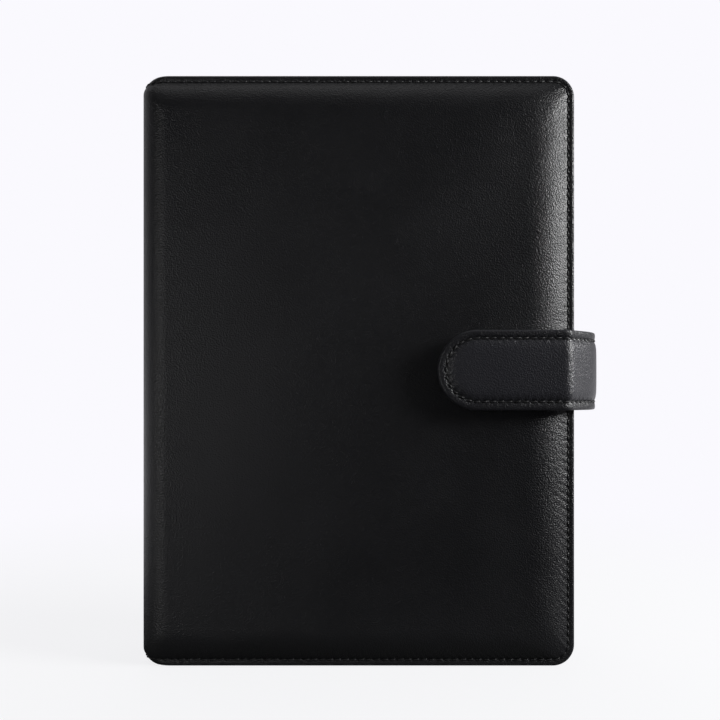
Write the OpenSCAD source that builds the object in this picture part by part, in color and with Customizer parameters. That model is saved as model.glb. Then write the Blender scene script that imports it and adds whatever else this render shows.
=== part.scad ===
// Padded leather cover for an A5 six-ring notebook, closed and standing on its bottom edge.
// +X runs from the spine to the fore edge, the front cover faces -Y, +Z is up.
// The back cover is the front cover's layers mirrored about the middle of the refill space.

/* [Cover] */
// Height of the cover
cover_h = 234; // [205:1:285]
// Width of the closed cover, from the spine to the fore edge
cover_w = 172.4; // [150:0.2:215]
// Clear depth between the front and back linings, where the refill goes
refill_gap = 27; // [26:0.5:36]
// Radius of the corners at the fore edge
corner_r = 8.5; // [5:0.5:14]
// Outer radius of the rounded spine corners
spine_r = 12; // [10:0.5:13]

/* [Layers] */
// Outer leather
leather_t = 1.2; // [0.8:0.1:1.6]
// Foam between the outer leather and the board
foam_t = 4; // [2:0.5:5]
// Grey-board
board_t = 2; // [1:0.5:2.5]
// Lining
lining_t = 0.8; // [0.5:0.1:1]
// Width of the outer leather that is turned in around the board
turn_in = 10; // [6:0.5:14]
// Thickness that the turned-in leather is skived to
turn_t = 0.8; // [0.4:0.1:0.9]
// Distance from the edge to the lining
lining_inset = 1.2; // [0.8:0.1:2]

/* [Padded edge] */
// Flat border outside the foot of the padding
border_w = 3.2; // [3.2:0.1:6]
// Run of the padding's slope along the fore edge
slope_fore = 12; // [6:0.5:20]
// Run of the padding's slope along the top and bottom edges
slope_ends = 7; // [4:0.5:12]
// Distance from the edge to the middle of the stitches
stitch_inset = 2.6; // [2.2:0.1:2.7]
// Thickness of the sewing thread
thread_d = 0.8; // [0.4:0.1:0.8]
// How far the thread stands above the leather
thread_rise = 0.25; // [0.1:0.05:0.4]

/* [Strap] */
// Width of the strap
strap_w = 31; // [24:0.5:45]
// Height of the strap's centre line above the bottom edge
strap_z = 117; // [90:1:140]
// Length of the flap from the fore edge to its tip
flap_l = 55.2; // [45:0.2:80]
// How far the strap stands out beyond the fore edge
strap_bulge = 9.2; // [8:0.1:11]
// Length of the root that is sewn to the back cover, from the bend
root_l = 46; // [35:1:70]
// Outer radius of the strap's two bends
bend_r = 11; // [9:0.5:13]
// Outer leather of the strap
strap_leather_t = 1.2; // [0.8:0.1:1.6]
// Stiffener inside the strap
strap_core_t = 1.4; // [1:0.1:2]
// Lining of the strap
strap_lining_t = 0.8; // [0.5:0.1:1.2]
// Margin of the strap outside its stiffener
strap_margin = 4.4; // [4:0.1:7]
// Distance from the strap's edge to its stitches
strap_stitch = 3.3; // [2.4:0.1:3.5]

/* [Magnetic snap] */
// Radius of the two snap halves
snap_r = 9; // [7:0.5:10]
// Height of the socket above the leather
socket_h = 1.9; // [1.6:0.1:2.6]
// Thickness of the stud's flange
stud_flange_t = 1; // [0.6:0.1:1.4]
// Radius of the stud
stud_r = 3; // [2:0.1:4]
// Radial clearance of the stud in the socket
stud_fit = 0.2; // [0.1:0.05:0.4]
// Gap between the closed snap halves
snap_gap = 0.1; // [0.05:0.05:0.3]
// Thickness of the backplates
backplate_t = 0.6; // [0.4:0.1:0.8]

/* [Ring mechanism] */
// Inner radius of the closed rings
ring_bore_r = 7.5; // [7:0.1:8]
// Diameter of the ring wire
wire_d = 2.5; // [2:0.1:2.6]
// Spacing of the two outer gaps at each end of the six holes
hole_pitch = 19; // [17:0.5:19]
// Spacing of the two middle rings
middle_pitch = 70; // [44:1:70]
// Length of the cover plate
plate_l = 180; // [176:1:190]
// Width of the cover plate
plate_w = 17; // [16:0.2:18]
// Height of the cover plate
plate_h = 6.2; // [6:0.1:7]
// Sheet of the cover plate
plate_t = 0.8; // [0.6:0.1:1]
// Crown radius of the cover plate
plate_crown_r = 16; // [14:0.5:24]
// Thickness of the blades
blade_t = 0.9; // [0.7:0.1:1]
// Distance from the middle to a blade's pivot edge
blade_pivot = 6.8; // [6.4:0.1:7]
// Radius of the rivet shanks
rivet_r = 2; // [1.5:0.1:2.2]
// Distance of each rivet from the middle
rivet_off = 63.5; // [62:0.5:65]
// Radius of the lever pins
pin_r = 0.9; // [0.7:0.05:1]
// Width of the lever tabs
lever_w = 11; // [8:0.5:13]

/* [Pockets and pen loop] */
// Width of the inside pockets
pocket_w = 98; // [90:1:110]
// Height of the lowest card slot
card_h = 50; // [45:1:58]
// Step from one card slot to the next
card_step = 18; // [12:1:20]
// Height of the slip pocket behind the card slots
slip_h = 150; // [130:1:170]
// Height of the back pocket
back_pocket_h = 196; // [150:1:196]
// Pocket leather
pocket_t = 0.8; // [0.5:0.1:0.8]
// Room for cards and paper inside a pocket
pocket_room = 0.25; // [0.15:0.05:0.3]
// Inner radius of the pen loop
pen_r = 5.5; // [4.5:0.1:5.6]
// Length of the pen loop
pen_loop_l = 25; // [18:1:40]
// Leather of the pen loop
pen_loop_t = 1; // [0.8:0.1:1]

/* [Hidden] */

$fn = 64;

leather_color = [0.07, 0.07, 0.085];
inner_color = [0.12, 0.12, 0.13];
thread_color = [0.03, 0.03, 0.035];
foam_color = [0.75, 0.75, 0.7];
board_color = [0.55, 0.52, 0.47];
steel_color = [0.78, 0.79, 0.8];

eps = 0.01;
cut = 1;

// Distances from the middle of the refill space to each layer of a cover
y_lining = refill_gap / 2;
y_board = y_lining + lining_t;
y_foam = y_board + board_t;
y_edge = y_foam + leather_t;
y_crown = y_edge + foam_t;

// The rounded spine corner is centred at (hinge_x, y_arc); a layer's radius there is its y - y_arc
hinge_x = spine_r;
y_arc = y_crown - spine_r;
r_lining = y_lining - y_arc;
r_board = y_board - y_arc;
r_foam = y_foam - y_arc;
r_edge = y_edge - y_arc;

// Padding's slope: share of its run against share of its rise
slope_steps = 4;
slope = [for (i = [0:slope_steps]) [i / slope_steps, sin(90 * i / slope_steps)]];
pad_corner_growth = 6;

// Strap
strap_t = strap_leather_t + strap_core_t + strap_lining_t;
strap_shell_t = strap_leather_t + strap_core_t;
strap_lift = socket_h + snap_gap + stud_flange_t;
flap_y = y_crown + strap_lift;
flap_out_y = flap_y + strap_t;
root_out_y = y_crown + strap_t;
strap_out_x = cover_w + strap_bulge;
bend_x = strap_out_x - bend_r;
front_bend_y = flap_out_y - bend_r;
back_bend_y = root_out_y - bend_r;
tip_x = cover_w - flap_l;
snap_x = tip_x + strap_w / 2;
root_corner_r = 5;
core_end_gap = 1;

// Prongs that hold the snap halves
prong_w = 4;
prong_t = 0.6;
prong_off = 5;
prong_fit = 0.1;
magnet_wall = 0.6;

// Ring mechanism, measured from the spine lining
ring_x = hinge_x - r_lining;
ring_z = cover_h / 2;
ring_r = ring_bore_r + wire_d / 2;
ring_places = [for (s = [-1, 1], i = [0:2]) ring_z + s * (middle_pitch / 2 + i * hole_pitch)];
blade_lift = 1.6;
blade_top = blade_lift + blade_t;
pivot_u = blade_lift + blade_t / 2;
foot_v = 5.6;
ring_u = blade_top + sqrt(ring_r * ring_r - foot_v * foot_v);
blade_gap = 0.1;
blade_end_gap = 3.6;
notch_w = wire_d + 1.2;
notch_v = 2.2;
rivet_head_r = 3.5;
rivet_head_t = 1.2;
rivet_fit = 0.05;
rivet_room = 0.8;
cap_r = 4;
cap_t = 0.8;
pin_fit = 0.05;
pin_seat = 0.02;
pin_u = 1.8;
pin_inset = 2.5;
pin_z = plate_l / 2 - pin_inset;
plate_wall_y = plate_w / 2 - plate_t;
lever_low = -1.4;
lever_heel = 1;
lever_reach = 9;
lever_turn = 22.5;
tab_rise = 11;
tab_t = 1.4;
tongue_l = 4.4;
tongue_w = 2.4;
tongue_t = 0.8;

// Pockets stand in from the edges by the same margin
pocket_margin = 10;
pocket_seam = 3;
pocket_x = cover_w - pocket_margin - pocket_w;
pocket_depth = pocket_t + pocket_room;
pen_inset = 4.5;
pen_lift = 0.2;
pen_x = cover_w - pen_inset - pen_loop_t - pen_r;
loop_y = y_lining - pen_loop_t - pen_r - pen_lift;
back_pocket_gap = 5;
back_pocket_x = pen_x - pen_r - pen_loop_t - back_pocket_gap - pocket_w;

// The frame's origin is the middle of the whole object's footprint
frame_x = -strap_out_x / 2;
frame_y = (flap_out_y + thread_rise - root_out_y - thread_rise) / 2;

module in_frame() { translate([frame_x, frame_y, 0]) children(); }
module back_side() { mirror([0, 1, 0]) children(); }

// A flat layer of the front cover between two distances from the middle of the refill space
module layer(y0, y1) {
    rotate([90, 0, 0]) translate([0, 0, y0]) linear_extrude(y1 - y0) children();
}

// Outline of a cover, square at the hinge and rounded at the fore edge
module outline(inset_fore, inset_ends, r, x0 = hinge_x) {
    x1 = cover_w - inset_fore;
    z0 = inset_ends;
    z1 = cover_h - inset_ends;
    translate([x0, z0]) square([x1 - r - x0, z1 - z0]);
    translate([x0, z0 + r]) square([x1 - x0, z1 - z0 - 2 * r]);
    for (z = [z0 + r, z1 - r]) translate([x1 - r, z]) circle(r);
}

module even_outline(inset, x0 = hinge_x) {
    outline(inset, inset, max(corner_r - inset, 1), x0);
}

// The crowned form of the padding: y0 is its flat side, and skin is taken off its slopes
module crown(y0, skin, x0 = hinge_x, sink = eps) {
    hull() for (s = slope) {
        y1 = s[0] == 0 ? y0 + eps - sink : y0 + foam_t * s[1];
        layer(y1 - eps, y1)
            outline(border_w + skin + slope_fore * s[0], border_w + skin + slope_ends * s[0],
                    max(corner_r - border_w, 2) + pad_corner_growth * s[0], x0, $fn = 32);
    }
}

// Sections of the spine and its rounded corners: x is the radius, y is the height
module padded_section(r0, skin, sink = eps) {
    low = [for (s = slope) [r0 + foam_t * s[1], border_w + skin + slope_ends * s[0]]];
    high = [for (i = [slope_steps:-1:0]) [low[i][0], cover_h - low[i][1]]];
    polygon(concat([[r0 - sink, low[0][1]]], low, high, [[r0 - sink, cover_h - low[0][1]]]));
}

module slab_section(r0, r1, inset) {
    translate([r0, inset]) square([r1 - r0, cover_h - 2 * inset]);
}

module leather_section() {
    difference() {
        union() {
            slab_section(r_lining, r_edge, 0);
            padded_section(r_edge, 0);
        }
        padded_section(r_foam, leather_t / 2);
        board_section();
        slab_section(r_lining - cut, r_board, lining_inset);
    }
}

// The board's rim is thinned where the leather is turned in over it
module board_section() {
    slab_section(r_board + turn_t, r_foam, leather_t);
    slab_section(r_board, r_board + turn_t + eps, turn_in);
}

module hinge_foam_section() {
    board_section();
    padded_section(r_foam, leather_t / 2);
}

module lining_section() { slab_section(r_lining, r_board, lining_inset); }

module hinge_turn() {
    translate([hinge_x, -y_arc, 0]) rotate_extrude(angle = 90, start = 180) children();
}

module spine_run() {
    translate([hinge_x, y_arc, 0]) mirror([1, 0, 0]) rotate([90, 0, 0])
        linear_extrude(2 * y_arc) children();
}

// ---- Layers that the two covers share ----

module cover_leather() {
    difference() {
        union() {
            layer(y_lining, y_edge) even_outline(0);
            crown(y_edge, 0);
        }
        crown(y_foam, leather_t / 2, hinge_x - cut);
        board_layers(hinge_x - cut);
        layer(y_lining - cut, y_board) even_outline(lining_inset, hinge_x - cut);
    }
}

module board_layers(x0 = hinge_x) {
    layer(y_board + turn_t, y_foam) even_outline(leather_t, x0);
    layer(y_board, y_board + turn_t + eps) even_outline(turn_in, x0);
}

module cover_foam() { crown(y_foam, leather_t / 2, sink = 0); }
module cover_board() { board_layers(); }
module cover_lining() { layer(y_lining, y_board) even_outline(lining_inset); }

module cover_stitching() {
    layer(y_edge, y_edge + thread_rise) difference() {
        even_outline(stitch_inset - thread_d / 2);
        even_outline(stitch_inset + thread_d / 2, hinge_x - cut);
    }
}

// ---- Front cover ----

module at_snap(y0) { translate([snap_x, -y0, strap_z]) rotate([90, 0, 0]) children(); }

module prongs(l, fit = 0) {
    for (s = [-1, 1]) translate([s * prong_off, 0, l / 2])
        cube([prong_t + 2 * fit, prong_w + 2 * fit, l], center = true);
}

module front_outer_leather() {
    color(leather_color) difference() {
        cover_leather();
        at_snap(y_foam) prongs(foam_t + leather_t + cut, prong_fit);
    }
}

module front_foam() {
    color(foam_color) difference() {
        cover_foam();
        at_snap(y_crown - leather_t - backplate_t) cylinder(r = snap_r, h = backplate_t + cut);
    }
}

module front_board() { color(board_color) cover_board(); }
module front_lining() { color(inner_color) cover_lining(); }
module front_stitching() { color(thread_color) cover_stitching(); }

// A patch pocket: sewn along three sides, open at the top
module pocket(w, h, depth, seam) {
    difference() {
        cube([w, depth + pocket_t, h]);
        translate([seam, -cut, seam]) cube([w - 2 * seam, depth + cut, h]);
    }
}

module inside_front(n) {
    translate([pocket_x, -y_lining + n * pocket_depth, pocket_margin]) children();
}

module front_slip_pocket() {
    color(leather_color) inside_front(0) pocket(pocket_w, slip_h, pocket_room, pocket_seam);
}

module card_slot(n, h) {
    color(leather_color) inside_front(n) pocket(pocket_w, h, pocket_room, pocket_seam);
}

module card_slot_upper() { card_slot(1, card_h + 2 * card_step); }
module card_slot_middle() { card_slot(2, card_h + card_step); }
module card_slot_lower() { card_slot(3, card_h); }

module snap_socket() {
    color(steel_color) at_snap(y_crown) difference() {
        union() {
            cylinder(r = snap_r, h = socket_h);
            translate([0, 0, -leather_t]) prongs(leather_t + eps);
        }
        translate([0, 0, -cut]) cylinder(r = stud_r + stud_fit, h = socket_h + 2 * cut);
        translate([0, 0, magnet_wall]) difference() {
            cylinder(r = snap_r - magnet_wall, h = socket_h - 2 * magnet_wall);
            translate([0, 0, -cut])
                cylinder(r = stud_r + stud_fit + magnet_wall, h = socket_h + 2 * cut);
        }
    }
}

module snap_magnet() {
    color([0.3, 0.3, 0.32]) at_snap(y_crown + magnet_wall) difference() {
        cylinder(r = snap_r - magnet_wall, h = socket_h - 2 * magnet_wall);
        translate([0, 0, -cut])
            cylinder(r = stud_r + stud_fit + magnet_wall, h = socket_h + 2 * cut);
    }
}

module socket_backplate() {
    color(steel_color) at_snap(y_crown - leather_t - backplate_t)
        cylinder(r = snap_r - 2 * eps, h = backplate_t - eps);
}

// ---- Back cover ----

module back_outer_leather() { color(leather_color) back_side() cover_leather(); }
module back_foam() { color(foam_color) back_side() cover_foam(); }
module back_board() { color(board_color) back_side() cover_board(); }
module back_lining() { color(inner_color) back_side() cover_lining(); }
module back_stitching() { color(thread_color) back_side() cover_stitching(); }

module back_pocket() {
    color(leather_color) back_side() translate([back_pocket_x, -y_lining, pocket_margin])
        pocket(pocket_w, back_pocket_h, pocket_room, pocket_seam);
}

module pen_loop() {
    loop_tab_w = 2 * pen_r + 2 * pen_loop_t;
    color(leather_color) translate([pen_x, 0, strap_z - pen_loop_l / 2]) difference() {
        union() {
            translate([0, loop_y, 0]) cylinder(r = pen_r + pen_loop_t, h = pen_loop_l);
            translate([-loop_tab_w / 2, y_lining - pen_loop_t, 0])
                cube([loop_tab_w, pen_loop_t, pen_loop_l]);
        }
        translate([0, loop_y, -cut]) cylinder(r = pen_r, h = pen_loop_l + 2 * cut);
    }
}

// ---- Spine and its rounded corners ----

module at_rivets() {
    for (s = [-1, 1]) translate([ring_x, 0, ring_z + s * rivet_off]) rotate([0, 90, 0])
        children();
}

module rivet_holes() {
    at_rivets() translate([0, 0, -ring_x - cut])
        cylinder(r = rivet_r + rivet_fit, h = ring_x + plate_h + 2 * cut);
}

module spine_outer_leather() {
    color(leather_color) difference() {
        spine_run() leather_section();
        rivet_holes();
        at_rivets() translate([0, 0, -ring_x - cut]) cylinder(r = cap_r, h = cap_t + cut);
    }
}

module spine_foam() {
    color(foam_color) difference() {
        spine_run() padded_section(r_foam, leather_t / 2, 0);
        rivet_holes();
    }
}

module spine_board() {
    color(board_color) difference() {
        spine_run() board_section();
        rivet_holes();
    }
}

module spine_lining() {
    color(inner_color) difference() {
        spine_run() lining_section();
        rivet_holes();
    }
}

module spine_stitching() {
    color(thread_color) for (z = [stitch_inset, cover_h - stitch_inset])
        translate([hinge_x - r_edge - thread_rise, -y_arc, z - thread_d / 2])
            cube([thread_rise, 2 * y_arc, thread_d]);
}

module front_hinge_leather() { color(leather_color) hinge_turn() leather_section(); }
module front_hinge_foam() { color(foam_color) hinge_turn() hinge_foam_section(); }
module front_hinge_lining() { color(inner_color) hinge_turn() lining_section(); }
module back_hinge_leather() { back_side() front_hinge_leather(); }
module back_hinge_foam() { back_side() front_hinge_foam(); }
module back_hinge_lining() { back_side() front_hinge_lining(); }

// ---- Strap ----

module flap_outline(margin) {
    r = strap_w / 2 - margin;
    translate([tip_x + strap_w / 2, strap_z]) circle(r);
    translate([tip_x + strap_w / 2, strap_z - r]) square([bend_x - tip_x - strap_w / 2, 2 * r]);
}

module root_outline(margin) {
    x0 = bend_x - root_l + margin;
    r = max(root_corner_r - margin, 1);
    half = strap_w / 2 - margin;
    translate([x0 + r, strap_z - half]) square([bend_x - x0 - r, 2 * half]);
    translate([x0, strap_z - half + r]) square([bend_x - x0, 2 * half - 2 * r]);
    for (s = [-1, 1]) translate([x0 + r, strap_z + s * (half - r)]) circle(r);
}

module flap_core_shape() {
    layer(flap_y + strap_lining_t, flap_y + strap_lining_t + strap_core_t)
        intersection() {
            flap_outline(strap_margin);
            translate([tip_x, 0]) square([bend_x - core_end_gap - tip_x, cover_h]);
        }
}

module strap_flap_leather() {
    color(leather_color) difference() {
        layer(flap_y + strap_lining_t, flap_out_y) flap_outline(0);
        flap_core_shape();
    }
}

module strap_flap_lining() {
    color(inner_color) difference() {
        layer(flap_y, flap_y + strap_lining_t) flap_outline(0);
        at_snap(flap_y - cut) prongs(strap_lining_t + 2 * cut, prong_fit);
    }
}

module strap_flap_core() {
    color(foam_color) difference() {
        flap_core_shape();
        at_snap(flap_y + strap_lining_t - cut) cylinder(r = snap_r - 1, h = backplate_t + cut);
    }
}

module strap_flap_stitching() {
    color(thread_color) layer(flap_out_y, flap_out_y + thread_rise) difference() {
        flap_outline(strap_stitch - thread_d / 2);
        flap_outline(strap_stitch + thread_d / 2);
        translate([bend_x - thread_d, 0]) square([2 * thread_d, cover_h]);
    }
}

module snap_stud() {
    stud_l = stud_flange_t + socket_h - magnet_wall + snap_gap;
    color(steel_color) {
        at_snap(flap_y - stud_flange_t) {
            cylinder(r = snap_r, h = stud_flange_t);
            prongs(stud_flange_t + strap_lining_t);
        }
        at_snap(flap_y - stud_l) cylinder(r = stud_r, h = stud_l - stud_flange_t / 2);
    }
}

module stud_backplate() {
    color(steel_color) at_snap(flap_y + strap_lining_t)
        cylinder(r = snap_r - 1 - 2 * eps, h = backplate_t - eps);
}

module side_slab(x0, x1, margin_y, margin_z) {
    translate([x0, -front_bend_y + margin_y, strap_z - strap_w / 2 + margin_z])
        cube([x1 - x0, front_bend_y + back_bend_y - 2 * margin_y, strap_w - 2 * margin_z]);
}

module strap_side_leather() {
    color(leather_color) difference() {
        side_slab(strap_out_x - strap_shell_t, strap_out_x, 0, 0);
        side_slab(strap_out_x - strap_shell_t - cut, strap_out_x - strap_leather_t,
                  core_end_gap, strap_margin);
    }
}

module strap_side_core() {
    color(foam_color) side_slab(strap_out_x - strap_shell_t, strap_out_x - strap_leather_t,
                                core_end_gap, strap_margin);
}

module strap_side_lining() {
    color(inner_color) side_slab(strap_out_x - strap_t, strap_out_x - strap_shell_t, 0, 0);
}

// A quarter turn of the whole strap
module strap_bend(y, turn) {
    color(leather_color) translate([bend_x, y, strap_z - strap_w / 2])
        rotate_extrude(angle = 90, start = turn)
            translate([bend_r - strap_t, 0]) square([strap_t, strap_w]);
}

module strap_front_bend() { strap_bend(-front_bend_y, 270); }
module strap_back_bend() { strap_bend(back_bend_y, 0); }

module strap_root_leather() {
    color(leather_color) back_side() layer(y_crown, root_out_y) root_outline(0);
}

module strap_root_stitching() {
    color(thread_color) back_side() layer(root_out_y, root_out_y + thread_rise) difference() {
        root_outline(strap_stitch - thread_d / 2);
        root_outline(strap_stitch + thread_d / 2);
        translate([bend_x - thread_d, 0]) square([2 * thread_d, cover_h]);
    }
}

// ---- Ring mechanism ----

// Section of the arched cover plate, with the spine lining at x = 0
module plate_section(r, half, top) {
    intersection() {
        translate([top - r, 0]) circle(r, $fn = 128);
        translate([0, -half]) square([top, 2 * half]);
    }
}

module along_plate(l) {
    translate([ring_x, 0, ring_z - l / 2]) linear_extrude(l) children();
}

module ring_cover_plate() {
    color(steel_color) difference() {
        along_plate(plate_l) plate_section(plate_crown_r, plate_w / 2, plate_h);
        along_plate(plate_l + 2 * cut) translate([-eps, 0])
            plate_section(plate_crown_r - plate_t, plate_wall_y, plate_h - plate_t);
        for (z = ring_places, s = [-1, 1])
            translate([ring_x + plate_h / 2, s * (notch_v + plate_w / 2), z])
                cube([plate_h + 2 * cut, plate_w, notch_w], center = true);
        rivet_holes();
        for (s = [-1, 1]) translate([ring_x + pin_u, 0, ring_z + s * pin_z])
            rotate([90, 0, 0]) cylinder(r = pin_r + pin_seat, h = plate_w + 2 * cut, center = true);
    }
}

module ring_rivets() {
    color(steel_color) at_rivets() {
        translate([0, 0, -ring_x + cap_t]) cylinder(r = rivet_r, h = ring_x + plate_h - cap_t + eps);
        translate([0, 0, plate_h]) cylinder(r = rivet_head_r, h = rivet_head_t);
    }
}

module rivet_caps() {
    color(steel_color) at_rivets() translate([0, 0, -ring_x]) cylinder(r = cap_r - eps, h = cap_t);
}

module lever_pins() {
    color(steel_color) for (s = [-1, 1]) translate([ring_x + pin_u, 0, ring_z + s * pin_z])
        rotate([90, 0, 0]) cylinder(r = pin_r, h = plate_w, center = true);
}

// A blade under the plate, on the back side, with its outer edge rounded about its pivot
module blade() {
    blade_l = 2 * (pin_z - blade_end_gap);
    difference() {
        union() {
            translate([ring_x + blade_lift, blade_gap, ring_z - blade_l / 2])
                cube([blade_t, blade_pivot - blade_gap, blade_l]);
            translate([ring_x + pivot_u, blade_pivot, ring_z - blade_l / 2])
                cylinder(r = blade_t / 2, h = blade_l);
        }
        at_rivets() translate([0, 0, -cut])
            cylinder(r = rivet_r + rivet_room, h = plate_h + 2 * cut);
    }
}

// Half of each ring, from the joint at its top to its foot on the blade
module half_rings() {
    for (z = ring_places) difference() {
        translate([ring_x + ring_u, 0, z]) intersection() {
            rotate_extrude() translate([ring_r, 0]) circle(wire_d / 2);
            translate([-2 * ring_r, blade_gap, -wire_d])
                cube([4 * ring_r, 2 * ring_r, 2 * wire_d]);
        }
        translate([ring_x + blade_top - 3 * ring_r, -cut, z - wire_d])
            cube([3 * ring_r, 3 * ring_r, 2 * wire_d]);
    }
}

module front_blade() { color(steel_color) back_side() blade(); }
module back_blade() { color(steel_color) blade(); }
module front_half_rings() { color(steel_color) back_side() half_rings(); }
module back_half_rings() { color(steel_color) half_rings(); }

// Lever at the top end: x is the height above the pin, y is the distance outward from it.
// Its underside slopes so that it lies flat on the lining when the lever is pressed.
module lever_outline() {
    knee = lever_reach * 0.4;
    under = lever_low + (knee + tab_t - lever_heel) * tan(lever_turn);
    polygon([[lever_low, -pin_r - tab_t / 4], [-lever_low, -pin_r - tab_t / 4],
             [-lever_low, knee], [tab_rise, lever_reach - tab_t],
             [tab_rise - tab_t / 4, lever_reach], [under, knee + tab_t],
             [lever_low, lever_heel]]);
}

module tongue_outline() { translate([lever_low, -tongue_l]) square([tongue_t, tongue_l]); }

module top_lever() {
    color(steel_color) translate([ring_x + pin_u, 0, ring_z + pin_z]) rotate([90, 0, 0])
        difference() {
            union() {
                translate([0, 0, -lever_w / 2]) linear_extrude(lever_w) lever_outline();
                translate([0, 0, -tongue_w / 2]) linear_extrude(tongue_w) tongue_outline();
            }
            cylinder(r = pin_r + pin_fit, h = lever_w + 2 * cut, center = true);
        }
}

module bottom_lever() {
    translate([0, 0, 2 * ring_z]) mirror([0, 0, 1]) top_lever();
}

in_frame() {
    front_outer_leather();
    front_foam();
    front_board();
    front_lining();
    front_stitching();
    front_slip_pocket();
    card_slot_upper();
    card_slot_middle();
    card_slot_lower();
    snap_socket();
    snap_magnet();
    socket_backplate();
    back_outer_leather();
    back_foam();
    back_board();
    back_lining();
    back_stitching();
    back_pocket();
    pen_loop();
    spine_outer_leather();
    spine_foam();
    spine_board();
    spine_lining();
    spine_stitching();
    front_hinge_leather();
    front_hinge_foam();
    front_hinge_lining();
    back_hinge_leather();
    back_hinge_foam();
    back_hinge_lining();
    strap_root_leather();
    strap_root_stitching();
    strap_back_bend();
    strap_side_leather();
    strap_side_lining();
    strap_side_core();
    strap_front_bend();
    strap_flap_leather();
    strap_flap_lining();
    strap_flap_core();
    strap_flap_stitching();
    snap_stud();
    stud_backplate();
    ring_cover_plate();
    ring_rivets();
    rivet_caps();
    lever_pins();
    front_blade();
    front_half_rings();
    back_blade();
    back_half_rings();
    top_lever();
    bottom_lever();
}
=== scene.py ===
import math

import bmesh
import bpy
import numpy as np
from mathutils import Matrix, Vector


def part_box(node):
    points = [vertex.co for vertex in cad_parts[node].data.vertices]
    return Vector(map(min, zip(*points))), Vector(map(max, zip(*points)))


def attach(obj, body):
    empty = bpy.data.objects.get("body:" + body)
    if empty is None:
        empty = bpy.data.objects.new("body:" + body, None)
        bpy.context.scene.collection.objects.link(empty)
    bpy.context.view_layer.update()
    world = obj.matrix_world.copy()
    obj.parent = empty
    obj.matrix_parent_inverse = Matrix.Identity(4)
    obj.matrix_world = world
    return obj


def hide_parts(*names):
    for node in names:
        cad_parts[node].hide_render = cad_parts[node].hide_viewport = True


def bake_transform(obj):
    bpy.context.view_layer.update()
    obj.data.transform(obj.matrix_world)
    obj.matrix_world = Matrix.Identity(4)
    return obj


# ---- Frame and camera ----
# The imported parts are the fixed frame, in metres. The closed cover stands on its bottom edges with its
# front towards -Y, and the camera stands level in front of it, a little below the middle.
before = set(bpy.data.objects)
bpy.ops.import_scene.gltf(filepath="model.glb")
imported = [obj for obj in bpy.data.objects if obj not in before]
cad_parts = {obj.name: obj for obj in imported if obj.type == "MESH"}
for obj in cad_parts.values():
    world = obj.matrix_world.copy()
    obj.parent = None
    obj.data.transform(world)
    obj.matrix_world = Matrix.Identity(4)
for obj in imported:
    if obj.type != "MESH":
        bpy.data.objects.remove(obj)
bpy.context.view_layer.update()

camera = bpy.data.objects.new("camera", bpy.data.cameras.new("camera"))
camera.location = (-0.0034, -0.3326, 0.108)
camera.rotation_euler = (math.radians(90), 0, 0)
camera.data.lens = 40
camera.data.shift_y = 0.0465
bpy.context.scene.collection.objects.link(camera)
bpy.context.scene.camera = camera
bpy.context.scene.view_settings.view_transform = "Standard"

# ---- Studio ----
# A matt white table in a pale lavender room, dark on the camera's side. A softbox far round to the right
# makes the padding shine along the fore edge, a weak one on the left shows the rounded spine, and a wide
# one overhead fills in.


def linear(colour):
    """A hex sRGB colour as a linear RGBA."""
    parts = [int(colour[i:i + 2], 16) / 255 for i in (1, 3, 5)]
    return [p / 12.92 if p < 0.04045 else ((p + 0.055) / 1.055) ** 2.4 for p in parts] + [1]


def add_node(tree, kind, settings=None, values=None, links=None):
    """A node of that kind, with its settings, its sockets' values and the links into it."""
    made = tree.nodes.new("ShaderNode" + kind)
    for key, value in (settings or {}).items():
        setattr(made, key, value)
    for key, value in (values or {}).items():
        made.inputs[key].default_value = value
    for key, source in (links or {}).items():
        tree.links.new(source, made.inputs[key])
    return made


room = bpy.data.worlds.new("pale room")
room.use_nodes = True
room.node_tree.nodes.clear()
sky_colour = linear("#faf9fe")
direction = add_node(room.node_tree, "TexCoord")
depth = add_node(room.node_tree, "SeparateXYZ", links={0: direction.outputs["Generated"]})
glow = add_node(room.node_tree, "MapRange", {"interpolation_type": "SMOOTHSTEP"},
                {"From Min": -0.2, "From Max": 0.65, "To Min": 0.02, "To Max": 0.5},
                {"Value": depth.outputs["Y"]})
seen = add_node(room.node_tree, "Background", None, {"Color": sky_colour, "Strength": 1.0})
lit = add_node(room.node_tree, "Background", None, {"Color": sky_colour},
               {"Strength": glow.outputs["Result"]})
ray = add_node(room.node_tree, "LightPath")
both = add_node(room.node_tree, "MixShader", None, None,
                {0: ray.outputs["Is Camera Ray"], 1: lit.outputs[0], 2: seen.outputs[0]})
add_node(room.node_tree, "OutputWorld", None, None, {"Surface": both.outputs[0]})
bpy.context.scene.world = room

table_mesh = bpy.data.meshes.new("table")
table_far = 4.0
table_near = -0.088
table_seen = 0.9
table_mesh.from_pydata([(-table_far, table_near, 0), (table_far, table_near, 0),
                        (table_far, table_far, 0), (-table_far, table_far, 0)], [], [(0, 1, 2, 3)])
table = bpy.data.objects.new("table", table_mesh)
bpy.context.scene.collection.objects.link(table)
laminate = bpy.data.materials.new("matt laminate")
laminate.use_nodes = True
tree = laminate.node_tree
look = tree.nodes["Principled BSDF"]
look.inputs["Base Color"].default_value = linear("#6a6b6a")
look.inputs["Emission Color"].default_value = linear("#f6f6f8")
look.inputs["Roughness"].default_value = 0.8
look.inputs["Specular IOR Level"].default_value = 0.1
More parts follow.
